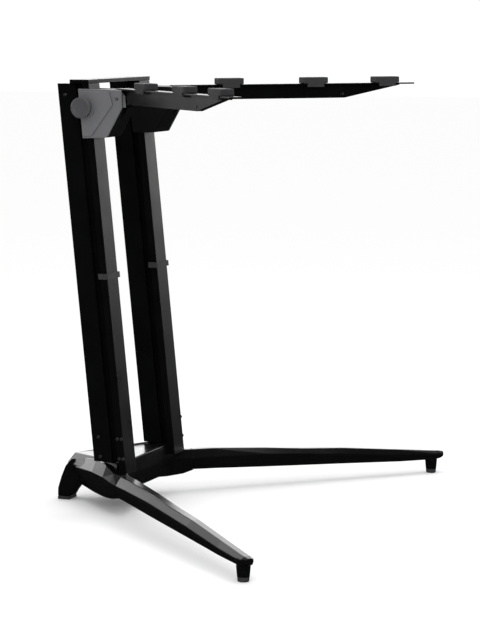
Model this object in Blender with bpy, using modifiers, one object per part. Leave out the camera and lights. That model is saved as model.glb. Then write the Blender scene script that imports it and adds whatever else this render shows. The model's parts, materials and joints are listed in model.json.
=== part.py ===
"""Keyboard stand: two leaning columns on a V base, with folding arms on sliding brackets.

Metres, +Z up. The player sits on the -Y side. X = 0 is the plane of symmetry.
The shape is laid out with Y = 0 at the rear face of the columns at floor level,
and the whole stand is then moved so that the origin is under the middle of its bounding box.
"""

import math

import bmesh
import bpy
from mathutils import Matrix, Vector

# Columns: one aluminium profile each, a flat rear blade, a recessed web and a front bar.
COLUMN_X = 0.1526
COLUMN_LEAN = 0.0988
COLUMN_TOP = 1.090
COLUMN_BOTTOM = 0.1395
BAR_BOTTOM = 0.1120
BLADE_HALF = 0.0223
BLADE_DEPTH = 0.050
WEB_HALF = 0.0125
GROOVE_HALF = 0.0085
GROOVE_AT = 0.067
BAR_AT = 0.072
BAR_HALF = 0.034
COLUMN_DEPTH = 0.090
EDGE = 0.0015

# Tie plate across the column tops.
TIE_THICKNESS = 0.010
TIE_DEPTH = 0.052

# Clearances.
SEAT = 0.0003
SLIDE = 0.0005

# Brackets: cast carriages that slide on the front bars.
BRACKET_INNER = 0.105
BRACKET_OUTER = 0.1955
CHEEK_THICKNESS = 0.0042
BRACKET_OUTLINE = [(0.042, 1.078), (-0.078, 1.076), (-0.078, 1.034), (-0.035, 0.958), (0.030, 0.955)]
CHEEK_OUTLINE = [(0.038, 1.073), (-0.045, 1.072), (-0.054, 1.039), (0.004, 0.962), (0.028, 0.960)]
KNOB_Y = 0.022
KNOB_Z = 1.032
KNOB_RADIUS = 0.026
KNOB_LENGTH = 0.020
KNOB_BASE_THICKNESS = 0.005
STUD_RADIUS = 0.004

# Arms: T section, level, turned outward.
ARM_ROOT = (0.1554, -0.0604)
ARM_ANGLE = 43.8
ARM_TOP = 1.079
FLANGE_THICKNESS = 0.004
FLANGE_HALF = 0.0155
WEB_BOTTOM = 1.040
ARM_WEB_HALF = 0.006
BEAD_HALF = 0.0078
BEAD_HEIGHT = 0.003
ROOT_CUT = 0.054
NOSE_AT = 0.475
TAPER_AT = 0.487
TAPER_END = 0.649
ARM_END = 0.690
PIVOT_T = 0.030
PIVOT_Z = 1.0535
PIN_RADIUS = 0.004
FORK_GAP = 0.0083
FORK_THICKNESS = 0.0045

# Rubber saddles on the arms.
PAD_AT = [0.159, 0.400, 0.609]
PAD_LENGTH = 0.071
PAD_HALF = 0.01775
PAD_RISE = 0.0165
FLAP_LENGTH = 0.048
FLAP_DROP = 0.009

# Clips on the front bars.
CLIP_Z = 0.611
CLIP_HEIGHT = 0.014
CLIP_WALL = 0.0035

# Legs, from the foot to the seam with the base.
FOOT = (0.697, -0.603)
LEG_DIRECTION = Vector((-0.6868, 0.7268, 0.0)).normalized()
SEAM = 0.710
SEAM_GAP = 0.0008
FOOT_TOP_RADIUS = 0.018
FOOT_RADIUS = 0.0132
CAP_HEIGHT = 0.011

# Leg stations: along, top z, half top, facet z, half facet, bottom z, half bottom.
LEG_STATIONS = [
    (-0.034, 0.0585, 0.0050, 0.0520, 0.0090, 0.0440, 0.0070),
    (-0.020, 0.0610, 0.0070, 0.0515, 0.0160, 0.0400, 0.0130),
    (0.000, 0.0625, 0.0075, 0.0520, 0.0185, 0.0385, 0.0155),
    (0.100, 0.0720, 0.0085, 0.0560, 0.0200, 0.0395, 0.0165),
    (0.270, 0.0880, 0.0095, 0.0710, 0.0225, 0.0460, 0.0185),
    (0.385, 0.0945, 0.0100, 0.0790, 0.0240, 0.0500, 0.0200),
    (0.500, 0.1040, 0.0105, 0.0860, 0.0250, 0.0540, 0.0210),
    (0.650, 0.1130, 0.0110, 0.0890, 0.0260, 0.0600, 0.0220),
    (SEAM - SEAM_GAP, 0.1140, 0.0110, 0.0890, 0.0262, 0.0615, 0.0222),
]

# Base: flat-topped V casting with a crossbar and one rear claw foot.
BEAM_HALF = 0.031
BEAM_END = 0.985
CROSSBAR_FRONT = -0.060
CROSSBAR_BOTTOM = 0.062
BASE_TOP = COLUMN_BOTTOM - SEAT
REAR_PAD_HEIGHT = 0.008

# Screw heads.
SCREW_RADIUS = 0.0045
SCREW_HEIGHT = 0.0016
BLADE_SCREWS = [(0.202, 0.018), (0.152, 0.018), (1.062, 0.018)]
BAR_SCREWS = [(0.202, 0.0755), (0.202, 0.0865), (0.152, 0.0755), (0.152, 0.0865)]


def clear_scene():
    for obj in list(bpy.data.objects):
        bpy.data.objects.remove(obj, do_unlink=True)


clear_scene()
stand = bpy.data.collections.new("keyboard_stand")
cutters = bpy.data.collections.new("cutters")
for group in (stand, cutters):
    bpy.context.scene.collection.children.link(group)
cutters.hide_render = True
root = bpy.data.objects.new("stand_root", None)
stand.objects.link(root)


def material(name, colour, roughness, metallic):
    made = bpy.data.materials.new(name)
    made.use_nodes = True
    shader = made.node_tree.nodes["Principled BSDF"]
    shader.inputs["Base Color"].default_value = (*colour, 1.0)
    shader.inputs["Roughness"].default_value = roughness
    shader.inputs["Metallic"].default_value = metallic
    return made


BLACK_ALUMINIUM = material("black_aluminium", (0.010, 0.010, 0.011), 0.38, 0.3)
BLACK_CASTING = material("black_casting", (0.014, 0.014, 0.015), 0.30, 0.2)
GREY_CASTING = material("grey_casting", (0.045, 0.046, 0.048), 0.45, 0.2)
KNOB_PLASTIC = material("knob_plastic", (0.050, 0.050, 0.052), 0.42, 0.0)
RUBBER = material("pad_rubber", (0.030, 0.030, 0.032), 0.75, 0.0)
SCREW_STEEL = material("screw_steel", (0.10, 0.10, 0.105), 0.35, 0.9)


def make(name, points, faces, look, origin=(0, 0, 0), bevel=0.0, helper=False):
    """One mesh object with its origin at the given point."""
    base = Vector(origin)
    shape = bmesh.new()
    corners = [shape.verts.new(Vector(p) - base) for p in points]
    for face in faces:
        shape.faces.new([corners[i] for i in face])
    bmesh.ops.recalc_face_normals(shape, faces=shape.faces[:])
    mesh = bpy.data.meshes.new(name)
    shape.to_mesh(mesh)
    shape.free()
    obj = bpy.data.objects.new(name, mesh)
    obj.location = base
    if helper:
        cutters.objects.link(obj)
        obj.hide_render = True
        obj.display_type = "WIRE"
    else:
        stand.objects.link(obj)
        mesh.materials.append(look)
    obj.parent = root
    if bevel:
        edge = obj.modifiers.new("bevel", "BEVEL")
        edge.width = bevel
        edge.segments = 2
        edge.limit_method = "ANGLE"
        edge.angle_limit = math.radians(25)
    return obj


def loft(name, rings, look, **options):
    """A closed body through rings with the same number of points, capped at both ends."""
    count = len(rings[0])
    points = [p for ring in rings for p in ring]
    faces = [list(range(count)), [len(points) - count + i for i in range(count)]]
    for level in range(len(rings) - 1):
        for i in range(count):
            j = (i + 1) % count
            low = level * count
            faces.append([low + i, low + j, low + count + j, low + count + i])
    return make(name, points, faces, look, **options)


def prism(name, outline, place, start, end, look, **options):
    """An outline of (p, q) points drawn out from start to end, through place(p, q, d)."""
    rings = [[place(p, q, d) for p, q in outline] for d in (start, end)]
    return loft(name, rings, look, **options)


def spin(name, profile, centre, axis, look, sides=32, **options):
    """A turned body: profile holds (distance along the axis, radius), with no radius of nought."""
    turn = Vector(axis).to_track_quat("Z", "Y").to_matrix()
    rings = []
    for along, radius in profile:
        ring = []
        for i in range(sides):
            a = 2 * math.pi * i / sides
            ring.append(Vector(centre) + turn @ Vector((radius * math.cos(a), radius * math.sin(a), along)))
        rings.append(ring)
    obj = loft(name, rings, look, **options)
    obj.data.shade_smooth()
    obj.data.set_sharp_from_angle(angle=math.radians(35))
    return obj


def combine(obj, other, operation):
    step = obj.modifiers.new(operation.lower(), "BOOLEAN")
    step.operation = operation
    step.object = other
    step.solver = "EXACT"


def side_name(side):
    return "r" if side > 0 else "l"


def column_place(side):
    """Column frame: u across, v forward from the rear face, z the height of the level cut."""
    lean = math.sqrt(1 + COLUMN_LEAN**2)
    return lambda u, v, z: Vector((side * COLUMN_X + u, COLUMN_LEAN * z - v * lean, z))


def arm_axes(side):
    angle = math.radians(ARM_ANGLE)
    along = Vector((side * math.sin(angle), -math.cos(angle), 0.0))
    across = Vector((math.cos(angle), side * math.sin(angle), 0.0))
    start = Vector((side * ARM_ROOT[0], ARM_ROOT[1], 0.0))
    return start, along, across


def arm_place(side):
    start, along, across = arm_axes(side)
    return lambda t, z, w: start + along * t + across * w + Vector((0, 0, z))


def box(place, a, b, c, name, look, **options):
    """A box between the limits a, b, c in the frame of place."""
    outline = [(a[0], b[0]), (a[1], b[0]), (a[1], b[1]), (a[0], b[1])]
    return prism(name, outline, place, c[0], c[1], look, **options)


def column_outline(grow=0.0):
    """Half outline of the profile, mirrored. The bar's front corners are cut by EDGE."""
    half = [
        (BLADE_HALF, 0.0),
        (BLADE_HALF, BLADE_DEPTH),
        (WEB_HALF, BLADE_DEPTH),
        (WEB_HALF, GROOVE_AT),
        (GROOVE_HALF, GROOVE_AT),
        (GROOVE_HALF, BAR_AT),
        (BAR_HALF - EDGE, BAR_AT),
        (BAR_HALF, BAR_AT + EDGE),
        (BAR_HALF, COLUMN_DEPTH - 3 * EDGE),
        (BAR_HALF - EDGE / 2, COLUMN_DEPTH - 2.6 * EDGE),
        (BAR_HALF - EDGE / 2, COLUMN_DEPTH - EDGE),
        (BAR_HALF - 2 * EDGE, COLUMN_DEPTH),
    ]
    return half + [(-u, v) for u, v in reversed(half)]


def column(side):
    place = column_place(side)
    name = f"column_{side_name(side)}"
    obj = prism(name, column_outline(), place, BAR_BOTTOM, COLUMN_TOP, BLACK_ALUMINIUM)
    foot_cut = box(
        place,
        (-0.05, 0.05),
        (-0.02, BAR_AT - EDGE),
        (BAR_BOTTOM - 0.02, COLUMN_BOTTOM),
        name + "_foot_cut",
        None,
        helper=True,
    )
    combine(obj, foot_cut, "DIFFERENCE")
    return obj


def screw(name, point, side):
    height = SCREW_HEIGHT
    radius = SCREW_RADIUS
    profile = [(0.0, radius), (height * 0.6, radius), (height, radius * 0.7)]
    return spin(name, profile, point, (side, 0, 0), SCREW_STEEL, sides=12)


def column_screws(side):
    place = column_place(side)
    for index, (z, v) in enumerate(BLADE_SCREWS):
        point = place(side * (BLADE_HALF + SEAT), v, z)
        screw(f"blade_screw_{index + 1}_{side_name(side)}", point, side)
    for index, (z, v) in enumerate(BAR_SCREWS):
        point = place(side * (BAR_HALF + SEAT), v, z)
        screw(f"bar_screw_{index + 1}_{side_name(side)}", point, side)


def tie_plate():
    half = COLUMN_X + BAR_HALF
    front = COLUMN_LEAN * COLUMN_TOP - COLUMN_DEPTH
    low = COLUMN_TOP + SEAT
    place = lambda x, y, z: Vector((x, y, z))
    box(
        place,
        (-half, half),
        (front - 0.001, front - 0.001 + TIE_DEPTH),
        (low, low + TIE_THICKNESS),
        "top_tie_plate",
        BLACK_ALUMINIUM,
        bevel=0.001,
    )


def clip(side):
    place = column_place(side)
    inner = BAR_HALF + SEAT
    outer = inner + CLIP_WALL
    front_in = COLUMN_DEPTH + SEAT
    front_out = front_in + CLIP_WALL
    back_in = BAR_AT - SEAT
    back_out = BAR_AT - 0.0035
    lip = GROOVE_HALF + 0.012
    outline = [
        (-outer, back_out),
        (-outer, front_out - 0.002),
        (-outer + 0.002, front_out),
        (outer - 0.002, front_out),
        (outer, front_out - 0.002),
        (outer, back_out),
        (lip, back_out),
        (lip, back_in),
        (inner, back_in),
        (inner, front_in),
        (-inner, front_in),
        (-inner, back_in),
        (-lip, back_in),
        (-lip, back_out),
    ]
    prism(
        f"bar_clip_{side_name(side)}",
        outline,
        place,
        CLIP_Z - CLIP_HEIGHT / 2,
        CLIP_Z + CLIP_HEIGHT / 2,
        RUBBER,
        origin=place(0, COLUMN_DEPTH / 2 + BAR_AT / 2, CLIP_Z),
    )


def bracket(side):
    name = f"bracket_{side_name(side)}"
    place = lambda y, z, x: Vector((side * x, y, z))
    knob = Vector((side * BRACKET_OUTER, KNOB_Y, KNOB_Z))
    origin = column_place(side)(0, (COLUMN_DEPTH + BAR_AT) / 2, KNOB_Z)
    body = prism(
        name, BRACKET_OUTLINE, place, BRACKET_INNER, BRACKET_OUTER, GREY_CASTING, origin=origin, bevel=0.0025
    )
    # Channel that the front bar runs through, with its web.
    along = column_place(side)
    half = BAR_HALF + SLIDE
    slot = [
        (-half, BAR_AT - SLIDE),
        (-half, COLUMN_DEPTH + SLIDE),
        (half, COLUMN_DEPTH + SLIDE),
        (half, BAR_AT - SLIDE),
        (WEB_HALF + SLIDE, BAR_AT - SLIDE),
        (WEB_HALF + SLIDE, 0.040),
        (-WEB_HALF - SLIDE, 0.040),
        (-WEB_HALF - SLIDE, BAR_AT - SLIDE),
    ]
    combine(body, prism(name + "_channel", slot, along, 0.90, 1.12, None, helper=True), "DIFFERENCE")
    # Notch for the arm: wide under the flange, narrow for the web as it folds down.
    arm = arm_place(side)
    wide = FLANGE_HALF + 0.001
    narrow = FORK_GAP
    low_flange = ARM_TOP - FLANGE_THICKNESS - 0.005
    combine(
        body,
        box(arm, (-0.010, 0.20), (low_flange, 1.10), (-wide, wide), name + "_flange_cut", None, helper=True),
        "DIFFERENCE",
    )
    combine(
        body,
        box(arm, (0.000, 0.20), (0.90, 1.10), (-narrow, narrow), name + "_web_cut", None, helper=True),
        "DIFFERENCE",
    )
    # Fork plates either side of the arm's web.
    fork = [
        (0.000, PIVOT_Z - 0.0205),
        (0.047, PIVOT_Z - 0.0205),
        (0.047, PIVOT_Z - 0.0170),
        (PIVOT_T + 0.012, PIVOT_Z + 0.008),
        (PIVOT_T + 0.002, PIVOT_Z + 0.0150),
        (0.000, PIVOT_Z + 0.0150),
    ]
    for index, w in enumerate((-FORK_GAP - FORK_THICKNESS, FORK_GAP)):
        plate = prism(f"{name}_fork_{index}", fork, arm, w, w + FORK_THICKNESS, None, helper=True)
        combine(body, plate, "UNION")
    pin_hole = arm_cylinder(side, name + "_pin_hole", PIN_RADIUS + SEAT, 0.03, helper=True)
    combine(body, pin_hole, "DIFFERENCE")
    stud_hole = spin(
        name + "_stud_hole",
        [(-0.014, STUD_RADIUS + SEAT), (0.01, STUD_RADIUS + SEAT)],
        knob,
        (side, 0, 0),
        None,
        sides=24,
        helper=True,
    )
    combine(body, stud_hole, "DIFFERENCE")
    return body


def arm_cylinder(side, name, radius, half, look=None, **options):
    """A cylinder across the arm at its pivot."""
    centre = arm_place(side)(PIVOT_T, PIVOT_Z, 0.0)
    across = arm_axes(side)[2]
    return spin(name, [(-half, radius), (half, radius)], centre, across, look, sides=24, **options)


def cheek_plate(side):
    place = lambda y, z, x: Vector((side * x, y, z))
    low = BRACKET_OUTER + SEAT
    name = f"cheek_plate_{side_name(side)}"
    obj = prism(name, CHEEK_OUTLINE, place, low, low + CHEEK_THICKNESS, GREY_CASTING, bevel=0.0015)
    hole = spin(
        name + "_hole",
        [(-0.01, STUD_RADIUS + SEAT), (0.01, STUD_RADIUS + SEAT)],
        (side * low, KNOB_Y, KNOB_Z),
        (side, 0, 0),
        None,
        sides=24,
        helper=True,
    )
    combine(obj, hole, "DIFFERENCE")
    return obj


def knob_start():
    return BRACKET_OUTER + SEAT + CHEEK_THICKNESS + SEAT


def knob_base(side):
    """Rounded-triangular boss under the knob."""
    low = knob_start()
    outline = []
    for i in range(48):
        a = 2 * math.pi * i / 48
        reach = 0.0255 + 0.0035 * math.cos(3 * (a - math.radians(90)))
        outline.append((KNOB_Y + reach * math.cos(a), KNOB_Z + reach * math.sin(a)))
    place = lambda y, z, x: Vector((side * x, y, z))
    name = f"knob_base_{side_name(side)}"
    obj = prism(name, outline, place, low, low + KNOB_BASE_THICKNESS, GREY_CASTING)
    hole = spin(
        name + "_hole",
        [(-0.01, STUD_RADIUS + SEAT), (0.02, STUD_RADIUS + SEAT)],
        (side * low, KNOB_Y, KNOB_Z),
        (side, 0, 0),
        None,
        sides=24,
        helper=True,
    )
    combine(obj, hole, "DIFFERENCE")


def knob(side):
    start = knob_start() + KNOB_BASE_THICKNESS + SEAT
    profile = [
        (0.0, KNOB_RADIUS * 0.86),
        (0.0015, KNOB_RADIUS * 0.93),
        (KNOB_LENGTH * 0.62, KNOB_RADIUS),
        (KNOB_LENGTH * 0.90, KNOB_RADIUS),
        (KNOB_LENGTH, KNOB_RADIUS * 0.90),
        (KNOB_LENGTH * 0.97, KNOB_RADIUS * 0.80),
        (KNOB_LENGTH * 0.87, KNOB_RADIUS * 0.55),
        (KNOB_LENGTH * 0.84, KNOB_RADIUS * 0.10),
    ]
    centre = (side * start, KNOB_Y, KNOB_Z)
    spin(f"knob_{side_name(side)}", profile, centre, (side, 0, 0), KNOB_PLASTIC, sides=40, origin=centre)
    tip = COLUMN_X + BAR_HALF + SEAT
    stud = [(0.0, STUD_RADIUS * 0.8), (0.0008, STUD_RADIUS), (start - SEAT - tip, STUD_RADIUS)]
    place = (side * tip, KNOB_Y, KNOB_Z)
    spin(f"clamp_stud_{side_name(side)}", stud, place, (side, 0, 0), SCREW_STEEL, sides=20, origin=place)


def arm(side):
    place = arm_place(side)
    pivot = place(PIVOT_T, PIVOT_Z, 0)
    low_flange = ARM_TOP - FLANGE_THICKNESS
    name = f"arm_{side_name(side)}"
    seam = NOSE_AT
    body = box(
        place,
        (0.0, seam),
        (low_flange, ARM_TOP),
        (-FLANGE_HALF, FLANGE_HALF),
        name,
        BLACK_ALUMINIUM,
        origin=pivot,
        bevel=0.0006,
    )
    web = [(0.004, low_flange + 0.002), (PIVOT_T - 0.011, PIVOT_Z), (PIVOT_T - 0.004, PIVOT_Z - 0.0105)]
    web_end = seam - SEAT
    web += [(ROOT_CUT, WEB_BOTTOM + 0.001), (web_end, WEB_BOTTOM + 0.001), (web_end, low_flange + 0.002)]
    combine(
        body,
        prism(name + "_web", web, place, -ARM_WEB_HALF, ARM_WEB_HALF, None, helper=True),
        "UNION",
    )
    combine(
        body,
        box(
            place,
            (ROOT_CUT - 0.001, seam - 2 * SEAT),
            (WEB_BOTTOM, WEB_BOTTOM + BEAD_HEIGHT),
            (-BEAD_HALF, BEAD_HALF),
            name + "_bead",
            None,
            helper=True,
        ),
        "UNION",
    )
    combine(body, arm_cylinder(side, name + "_hole", PIN_RADIUS + SEAT, 0.03, helper=True), "DIFFERENCE")
    nose(side)


def nose(side):
    """Tapered end piece of the arm."""
    place = arm_place(side)
    low_flange = ARM_TOP - FLANGE_THICKNESS
    start = NOSE_AT + 2 * SEAT
    name = f"arm_nose_{side_name(side)}"
    body = box(
        place,
        (start, ARM_END),
        (low_flange, ARM_TOP),
        (-FLANGE_HALF, FLANGE_HALF),
        name,
        BLACK_ALUMINIUM,
        bevel=0.0006,
    )
    web = [(start + SEAT, low_flange + 0.002), (start + SEAT, WEB_BOTTOM + 0.001), (TAPER_AT, WEB_BOTTOM + 0.001)]
    web += [(TAPER_END, low_flange - 0.001), (TAPER_END + 0.004, low_flange + 0.002)]
    combine(body, prism(name + "_web", web, place, -ARM_WEB_HALF, ARM_WEB_HALF, None, helper=True), "UNION")
    bead_start = start + 2 * SEAT
    bead = [(bead_start, WEB_BOTTOM), (TAPER_AT, WEB_BOTTOM), (TAPER_END, low_flange - 0.0022)]
    bead += [(TAPER_END, low_flange + 0.0012), (TAPER_AT, WEB_BOTTOM + BEAD_HEIGHT)]
    bead.append((bead_start, WEB_BOTTOM + BEAD_HEIGHT))
    combine(body, prism(name + "_bead", bead, place, -BEAD_HALF, BEAD_HALF, None, helper=True), "UNION")
    across = arm_axes(side)[2]
    for label, sign in (("a", 1), ("b", -1)):
        point = place(NOSE_AT + 0.008, WEB_BOTTOM + 0.0105, sign * (ARM_WEB_HALF + SEAT))
        profile = [(0.0, 0.0032), (0.001, 0.0032), (0.0014, 0.0022)]
        spin(f"nose_screw_{label}_{side_name(side)}", profile, point, across * sign, SCREW_STEEL, sides=12)


def pivot_pin(side):
    half = FORK_GAP + FORK_THICKNESS + 0.001
    arm_cylinder(side, f"pivot_pin_{side_name(side)}", PIN_RADIUS, half, SCREW_STEEL)


def pads(side):
    place = arm_place(side)
    top = ARM_TOP + SEAT
    inner = FLANGE_HALF + SEAT
    for index, t in enumerate(PAD_AT):
        name = f"pad_{index + 1}_{side_name(side)}"
        half = PAD_LENGTH / 2
        body = box(
            place,
            (t - half, t + half),
            (top, ARM_TOP + PAD_RISE),
            (-PAD_HALF, PAD_HALF),
            name,
            RUBBER,
            origin=place(t, top, 0),
            bevel=0.0025,
        )
        for which, limits in enumerate(((-PAD_HALF + 0.0001, -inner), (inner, PAD_HALF - 0.0001))):
            flap = box(
                place,
                (t - FLAP_LENGTH / 2, t + FLAP_LENGTH / 2),
                (ARM_TOP - FLAP_DROP, top + 0.006),
                limits,
                f"{name}_flap_{which}",
                None,
                helper=True,
            )
            combine(body, flap, "UNION")


def leg_place(side):
    along = Vector((side * LEG_DIRECTION.x, LEG_DIRECTION.y, 0.0))
    across = Vector((LEG_DIRECTION.y, -side * LEG_DIRECTION.x, 0.0))
    start = Vector((side * FOOT[0], FOOT[1], 0.0))
    return lambda s, w, z: start + along * s + across * w + Vector((0, 0, z))


def beam_ring(place, s, top, half_top, facet, half_facet, low, half_low):
    half = [(half_top, top), (half_facet, facet + 0.003), (half_facet, facet - 0.003), (half_low, low)]
    return [place(s, w, z) for w, z in half + [(-w, z) for w, z in reversed(half)]]


def leg(side):
    place = leg_place(side)
    rings = [beam_ring(place, *station) for station in LEG_STATIONS]
    body = loft(f"leg_{side_name(side)}", rings, BLACK_CASTING, bevel=0.0015)
    cone = spin(
        f"leg_{side_name(side)}_foot",
        [(CAP_HEIGHT, FOOT_RADIUS + 0.0012), (0.036, FOOT_TOP_RADIUS - 0.0012), (0.048, FOOT_TOP_RADIUS - 0.004)],
        place(0, 0, 0),
        (0, 0, 1),
        None,
        helper=True,
    )
    combine(body, cone, "UNION")
    spin(
        f"foot_cap_{side_name(side)}",
        [(0.0, FOOT_RADIUS - 0.001), (0.001, FOOT_RADIUS), (CAP_HEIGHT - SEAT, FOOT_RADIUS + 0.0010)],
        place(0, 0, 0),
        (0, 0, 1),
        RUBBER,
    )


def base_casting():
    flat = lambda x, y, z: Vector((x, y, z))
    # Hub between the two columns: a sloping flat top over a wider skirt.
    half_top = [(0.0, 0.153, 0.123), (0.130, 0.008, BASE_TOP), (0.176, -0.052, BASE_TOP), (0.150, CROSSBAR_FRONT, BASE_TOP)]
    half_mid = [(0.0, 0.176, 0.095), (0.152, 0.012, 0.100), (0.190, -0.050, 0.100), (0.150, CROSSBAR_FRONT - 0.003, 0.100)]
    half_low = [(0.0, 0.150, 0.062), (0.140, 0.000, CROSSBAR_BOTTOM), (0.170, -0.045, CROSSBAR_BOTTOM)]
    half_low.append((0.145, CROSSBAR_FRONT - 0.003, CROSSBAR_BOTTOM))
    rings = []
    for half in (half_low, half_mid, half_top):
        ring = [flat(*p) for p in half] + [flat(-x, y, z) for x, y, z in reversed(half[1:])]
        rings.append(ring)
    body = loft("base_casting", rings, BLACK_CASTING, bevel=0.002)
    # Beams that run on from the legs, under the columns.
    for side in (1, -1):
        place = leg_place(side)
        stations = [
            (SEAM, 0.1140, 0.0110, 0.0890, 0.0262, 0.0600, 0.0222),
            (SEAM + 0.030, 0.1160, 0.0180, 0.0920, 0.0290, 0.0520, 0.0240),
            (SEAM + 0.075, 0.1300, 0.0200, 0.0980, BEAM_HALF, 0.0480, 0.0250),
            (SEAM + 0.150, 0.1330, 0.0180, 0.0980, BEAM_HALF, 0.0470, 0.0240),
            (BEAM_END, 0.1180, 0.0120, 0.0900, 0.0280, 0.0500, 0.0200),
        ]
        rings = [beam_ring(place, *station) for station in stations]
        beam = loft(f"base_beam_{side_name(side)}", rings, None, helper=True, bevel=0.0015)
        combine(body, beam, "UNION")
    # Rear claw foot.
    claw = [
        (0.120, 0.112),
        (0.153, 0.110),
        (0.170, 0.090),
        (0.183, 0.060),
        (0.1925, 0.030),
        (0.193, REAR_PAD_HEIGHT + SEAT),
        (0.160, REAR_PAD_HEIGHT + SEAT),
        (0.152, 0.022),
        (0.133, 0.046),
        (0.110, 0.062),
    ]
    claw_place = lambda y, z, x: Vector((x, y, z))
    claw_body = prism("base_claw", claw, claw_place, -0.024, 0.024, None, helper=True, bevel=0.003)
    combine(body, claw_body, "UNION")
    # Shoes: a pocket for each front bar's lower end.
    for side in (1, -1):
        place = column_place(side)
        pocket = [
            (-BAR_HALF - SEAT, BAR_AT - EDGE - 3 * SEAT),
            (-BAR_HALF - SEAT, COLUMN_DEPTH + SEAT),
            (BAR_HALF + SEAT, COLUMN_DEPTH + SEAT),
            (BAR_HALF + SEAT, BAR_AT - EDGE - 3 * SEAT),
        ]
        name = f"base_pocket_{side_name(side)}"
        cut = prism(name, pocket, place, BAR_BOTTOM - SEAT, 0.20, None, helper=True)
        combine(body, cut, "DIFFERENCE")
    prism(
        "rear_foot_pad",
        [(0.160, 0.0), (0.193, 0.0), (0.193, REAR_PAD_HEIGHT), (0.160, REAR_PAD_HEIGHT)],
        claw_place,
        -0.023,
        0.023,
        RUBBER,
        bevel=0.001,
    )


def settle_origin():
    """Move the stand so that the origin is under the middle of its bounding box."""
    bpy.context.view_layer.update()
    low = min((o.matrix_world @ Vector(c)).y for o in stand.objects if o.type == "MESH" for c in o.bound_box)
    high = max((o.matrix_world @ Vector(c)).y for o in stand.objects if o.type == "MESH" for c in o.bound_box)
    root.location.y = -(low + high) / 2
    print("shift in Y", root.location.y)


base_casting()
tie_plate()
for SIDE in (1, -1):
    leg(SIDE)
    column(SIDE)
    column_screws(SIDE)
    clip(SIDE)
    bracket(SIDE)
    cheek_plate(SIDE)
    knob_base(SIDE)
    knob(SIDE)
    arm(SIDE)
    pivot_pin(SIDE)
    pads(SIDE)
settle_origin()
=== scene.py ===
"""Looks, light and camera for the keyboard stand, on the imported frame."""

import json
import math

import bpy
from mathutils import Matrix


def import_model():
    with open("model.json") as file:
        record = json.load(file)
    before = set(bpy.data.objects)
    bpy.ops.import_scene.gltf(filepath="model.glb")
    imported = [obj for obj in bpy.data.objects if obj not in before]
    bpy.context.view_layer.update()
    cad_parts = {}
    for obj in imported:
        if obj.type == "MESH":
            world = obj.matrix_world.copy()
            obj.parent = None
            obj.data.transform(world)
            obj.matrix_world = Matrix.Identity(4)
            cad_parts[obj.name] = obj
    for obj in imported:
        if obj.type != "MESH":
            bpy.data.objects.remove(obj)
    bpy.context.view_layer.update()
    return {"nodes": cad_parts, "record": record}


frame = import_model()

# The camera that was fitted to the photograph, moved with the stand's origin.
ORIGIN_SHIFT = 0.2202202
CAMERA_PLACE = (-5.5858, -2.5700 + ORIGIN_SHIFT, 1.2608)
CAMERA_PITCH = 7.0153
CAMERA_TURN = -68.0
CAMERA_LENS = 180.18
CAMERA_SENSOR = 36.0
FAR_CLIP = 200

# Input numbers of the Mix node, whose names repeat for each kind of value.
FLOAT_A, FLOAT_B = 2, 3
COLOUR_A, COLOUR_B = 6, 7
COLOUR_OUT = 2

# Finish: sizes of the patches and the grain, and how far the gloss and the dust vary.
PATCH_SCALE = 14.0
PATCH_DETAIL = 5.0
GRAIN_DETAIL = 3.0
PATCH_LOW, PATCH_HIGH = 0.3, 0.7
GLOSSIER, DULLER = 0.85, 1.2
DUST_FLOOR = 0.0006
GRAIN_DEPTH = 0.0004
COAT_ROUGHNESS = 0.25
SHARP_ANGLE = 28

# Floor: white to the eye; in the stand's own reflections its colour is painted dark, painted shade in the
# reflections that stands in for studio flags.
FLOOR_SIZE = 60
FLOOR_DROP = 0.0002
FLOOR_WHITE = (0.93, 0.93, 0.93)
# Painted dark: the floor's colour for glossy rays only, painted shade in the stand's reflections.
FLOOR_PAINTED_REFLECTION_DARK = (0.012, 0.012, 0.012)
FLOOR_ROUGHNESS = 0.9

# Studio: white for the eye, and for reflections bright behind the stand and dark in front.
SKY_STRENGTH = 1.05
BRIGHT_FROM, BRIGHT_TO = 0.25, 0.95
DARK_SIDE, BRIGHT_SIDE = 0.012, 2.2

# Lights: name, place, aim, size, power.
LIGHTS = [
    ("key", (-3.2, -1.2, 2.6), (0, 0, 0.8), (1.2, 1.2), 30),
    ("top", (0.4, -0.2, 3.2), (0, 0, 0.6), (2.0, 2.0), 25),
]


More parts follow.
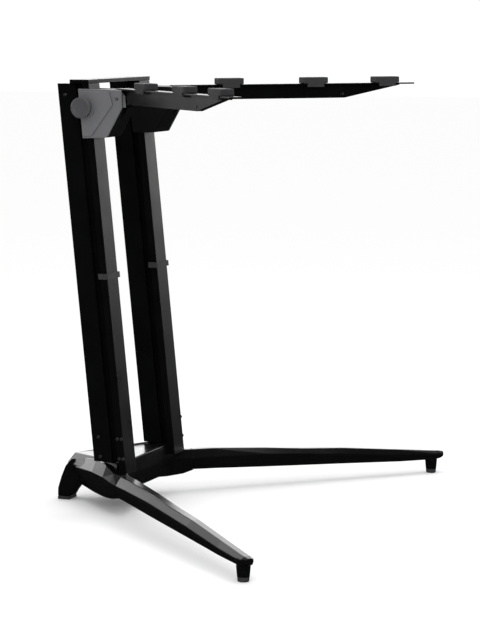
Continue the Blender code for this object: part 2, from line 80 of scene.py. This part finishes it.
def material(name, colour, roughness, metallic, grain, bump, stretch=(1, 1, 1), dust=0.25, coat=0.0, shine=0.5):
    """Painted or moulded surface with uneven gloss, faint dust in patches and a fine grain."""
    made = bpy.data.materials.new(name)
    made.use_nodes = True
    nodes, links = made.node_tree.nodes, made.node_tree.links
    shader = nodes["Principled BSDF"]
    shader.inputs["Metallic"].default_value = metallic
    shader.inputs["Specular IOR Level"].default_value = shine
    shader.inputs["Coat Weight"].default_value = coat
    shader.inputs["Coat Roughness"].default_value = COAT_ROUGHNESS
    place = nodes.new("ShaderNodeTexCoord")
    scale = nodes.new("ShaderNodeMapping")
    scale.inputs["Scale"].default_value = stretch
    links.new(place.outputs["Object"], scale.inputs["Vector"])

    patches = nodes.new("ShaderNodeTexNoise")
    patches.inputs["Scale"].default_value = PATCH_SCALE
    patches.inputs["Detail"].default_value = PATCH_DETAIL
    links.new(place.outputs["Object"], patches.inputs["Vector"])
    fine = nodes.new("ShaderNodeTexNoise")
    fine.inputs["Scale"].default_value = grain
    fine.inputs["Detail"].default_value = GRAIN_DETAIL
    links.new(scale.outputs["Vector"], fine.inputs["Vector"])

    gloss = nodes.new("ShaderNodeMapRange")
    gloss.inputs["From Min"].default_value = PATCH_LOW
    gloss.inputs["From Max"].default_value = PATCH_HIGH
    gloss.inputs["To Min"].default_value = roughness * GLOSSIER
    gloss.inputs["To Max"].default_value = min(1.0, roughness * DULLER)
    links.new(patches.outputs["Fac"], gloss.inputs["Value"])
    links.new(gloss.outputs["Result"], shader.inputs["Roughness"])

    tint = nodes.new("ShaderNodeMix")
    tint.data_type = "RGBA"
    dusty = [min(1.0, c * (1 + dust) + DUST_FLOOR) for c in colour]
    tint.inputs[COLOUR_A].default_value = (*colour, 1.0)
    tint.inputs[COLOUR_B].default_value = (*dusty, 1.0)
    links.new(patches.outputs["Fac"], tint.inputs[0])
    links.new(tint.outputs[COLOUR_OUT], shader.inputs["Base Color"])

    relief = nodes.new("ShaderNodeBump")
    relief.inputs["Strength"].default_value = bump
    relief.inputs["Distance"].default_value = GRAIN_DEPTH
    links.new(fine.outputs["Fac"], relief.inputs["Height"])
    links.new(relief.outputs["Normal"], shader.inputs["Normal"])
    return made


LOOKS = {
    "black_aluminium": material(
        "anodised", (0.0010, 0.0010, 0.0012), 0.30, 0.0, 900, 0.08, (1, 1, 0.05), dust=0.5, shine=0.3
    ),
    "black_casting": material(
        "gloss_casting", (0.0015, 0.0015, 0.0017), 0.22, 0.0, 420, 0.12, coat=0.3, shine=0.35
    ),
    "grey_casting": material("grey_casting_paint", (0.105, 0.106, 0.110), 0.42, 0.0, 700, 0.25),
    "knob_plastic": material("knob_moulding", (0.055, 0.055, 0.058), 0.40, 0.0, 1100, 0.35),
    "pad_rubber": material("pad_rubber_look", (0.022, 0.022, 0.024), 0.62, 0.0, 1500, 0.45, dust=0.5),
    "screw_steel": material("dark_screw", (0.10, 0.10, 0.105), 0.30, 0.9, 900, 0.10),
}
# Place of the step between the grey outer face of a bracket and its black inner body, from the middle plane.
GREY_FROM = 0.188
INNER_BLACK = (0.002, 0.002, 0.0022)


def two_tone(name, outer, inner_colour):
    """The outer look beyond GREY_FROM on either side, and the inner colour between them."""
    made = outer.copy()
    made.name = name
    nodes, links = made.node_tree.nodes, made.node_tree.links
    shader = nodes["Principled BSDF"]
    place = nodes.new("ShaderNodeTexCoord")
    split = nodes.new("ShaderNodeSeparateXYZ")
    links.new(place.outputs["Object"], split.inputs[0])
    side = nodes.new("ShaderNodeMath")
    side.operation = "ABSOLUTE"
    links.new(split.outputs["X"], side.inputs[0])
    step = nodes.new("ShaderNodeMath")
    step.operation = "GREATER_THAN"
    step.inputs[1].default_value = GREY_FROM
    links.new(side.outputs[0], step.inputs[0])
    mix = nodes.new("ShaderNodeMix")
    mix.data_type = "RGBA"
    mix.inputs[COLOUR_A].default_value = (*inner_colour, 1.0)
    links.new(step.outputs[0], mix.inputs[0])
    links.new(shader.inputs["Base Color"].links[0].from_socket, mix.inputs[COLOUR_B])
    links.new(mix.outputs[COLOUR_OUT], shader.inputs["Base Color"])
    return made


BRACKET_LOOK = two_tone("bracket_paint", LOOKS["grey_casting"], INNER_BLACK)
BRACKETS = ("bracket_r", "bracket_l")
SLOTS = {part["node"]: part["material_slot"] for part in frame["record"]["subparts"]}
for node, obj in frame["nodes"].items():
    obj.data.materials.clear()
    obj.data.materials.append(BRACKET_LOOK if node in BRACKETS else LOOKS[SLOTS[node]])
    obj.data.shade_smooth()
    obj.data.set_sharp_from_angle(angle=math.radians(SHARP_ANGLE))


def plain(name, colour, roughness):
    made = bpy.data.materials.new(name)
    made.use_nodes = True
    shader = made.node_tree.nodes["Principled BSDF"]
    shader.inputs["Base Color"].default_value = (*colour, 1.0)
    shader.inputs["Roughness"].default_value = roughness
    shader.inputs["Specular IOR Level"].default_value = 0.0
    return made


def floor():
    bpy.ops.mesh.primitive_plane_add(size=FLOOR_SIZE, location=(0, 0, -FLOOR_DROP))
    obj = bpy.context.object
    obj.name = "floor"
    look = plain("floor_white", FLOOR_WHITE, FLOOR_ROUGHNESS)
    obj.data.materials.append(look)
    nodes, links = look.node_tree.nodes, look.node_tree.links
    # For glossy rays the floor's colour switches to the painted dark, so the stand reflects painted shade where
    # the floor is really white.
    path = nodes.new("ShaderNodeLightPath")
    pick = nodes.new("ShaderNodeMix")
    pick.data_type = "RGBA"
    pick.inputs[COLOUR_A].default_value = (*FLOOR_WHITE, 1.0)
    pick.inputs[COLOUR_B].default_value = (*FLOOR_PAINTED_REFLECTION_DARK, 1.0)
    links.new(path.outputs["Is Glossy Ray"], pick.inputs[0])
    links.new(pick.outputs[COLOUR_OUT], nodes["Principled BSDF"].inputs["Base Color"])


def area_light(name, place, target, size, energy):
    """A rectangular light at a place, turned towards its target."""
    light = bpy.data.lights.new(name, "AREA")
    light.shape = "RECTANGLE"
    light.size, light.size_y = size
    light.energy = energy
    obj = bpy.data.objects.new(name, light)
    bpy.context.scene.collection.objects.link(obj)
    obj.location = place
    toward = [t - p for t, p in zip(target, place)]
    flat = math.hypot(toward[0], toward[1])
    obj.rotation_euler = (math.atan2(flat, -toward[2]), 0, math.atan2(toward[1], toward[0]) - math.pi / 2)


def world():
    """White all round for the eye and for the floor; reflections see white behind the stand and dark in front."""
    made = bpy.data.worlds.new("studio")
    bpy.context.scene.world = made
    made.use_nodes = True
    nodes, links = made.node_tree.nodes, made.node_tree.links
    background = nodes["Background"]
    background.inputs["Color"].default_value = (1, 1, 1, 1)
    turn = math.radians(-CAMERA_TURN)
    ahead = (math.sin(turn), math.cos(turn), 0.0)
    way = nodes.new("ShaderNodeTexCoord")
    dot = nodes.new("ShaderNodeVectorMath")
    dot.operation = "DOT_PRODUCT"
    dot.inputs[1].default_value = ahead
    links.new(way.outputs["Generated"], dot.inputs[0])
    ramp = nodes.new("ShaderNodeMapRange")
    ramp.interpolation_type = "SMOOTHSTEP"
    ramp.inputs["From Min"].default_value = BRIGHT_FROM
    ramp.inputs["From Max"].default_value = BRIGHT_TO
    ramp.inputs["To Min"].default_value = DARK_SIDE
    ramp.inputs["To Max"].default_value = BRIGHT_SIDE
    links.new(dot.outputs["Value"], ramp.inputs["Value"])
    path = nodes.new("ShaderNodeLightPath")
    pick = nodes.new("ShaderNodeMix")
    pick.data_type = "FLOAT"
    pick.inputs[FLOAT_A].default_value = SKY_STRENGTH
    links.new(path.outputs["Is Glossy Ray"], pick.inputs[0])
    links.new(ramp.outputs["Result"], pick.inputs[FLOAT_B])
    links.new(pick.outputs[0], background.inputs["Strength"])


def camera():
    """The photograph's view."""
    data = bpy.data.cameras.new("photo_camera")
    data.sensor_fit = "HORIZONTAL"
    data.sensor_width = CAMERA_SENSOR
    data.lens = CAMERA_LENS
    data.clip_end = FAR_CLIP
    obj = bpy.data.objects.new("photo_camera", data)
    bpy.context.scene.collection.objects.link(obj)
    obj.location = CAMERA_PLACE
    obj.rotation_euler = (math.radians(90 - CAMERA_PITCH), 0, math.radians(CAMERA_TURN))
    bpy.context.scene.camera = obj


floor()
world()
for light in LIGHTS:
    area_light(*light)
camera()
bpy.context.scene.view_settings.view_transform = "Standard"
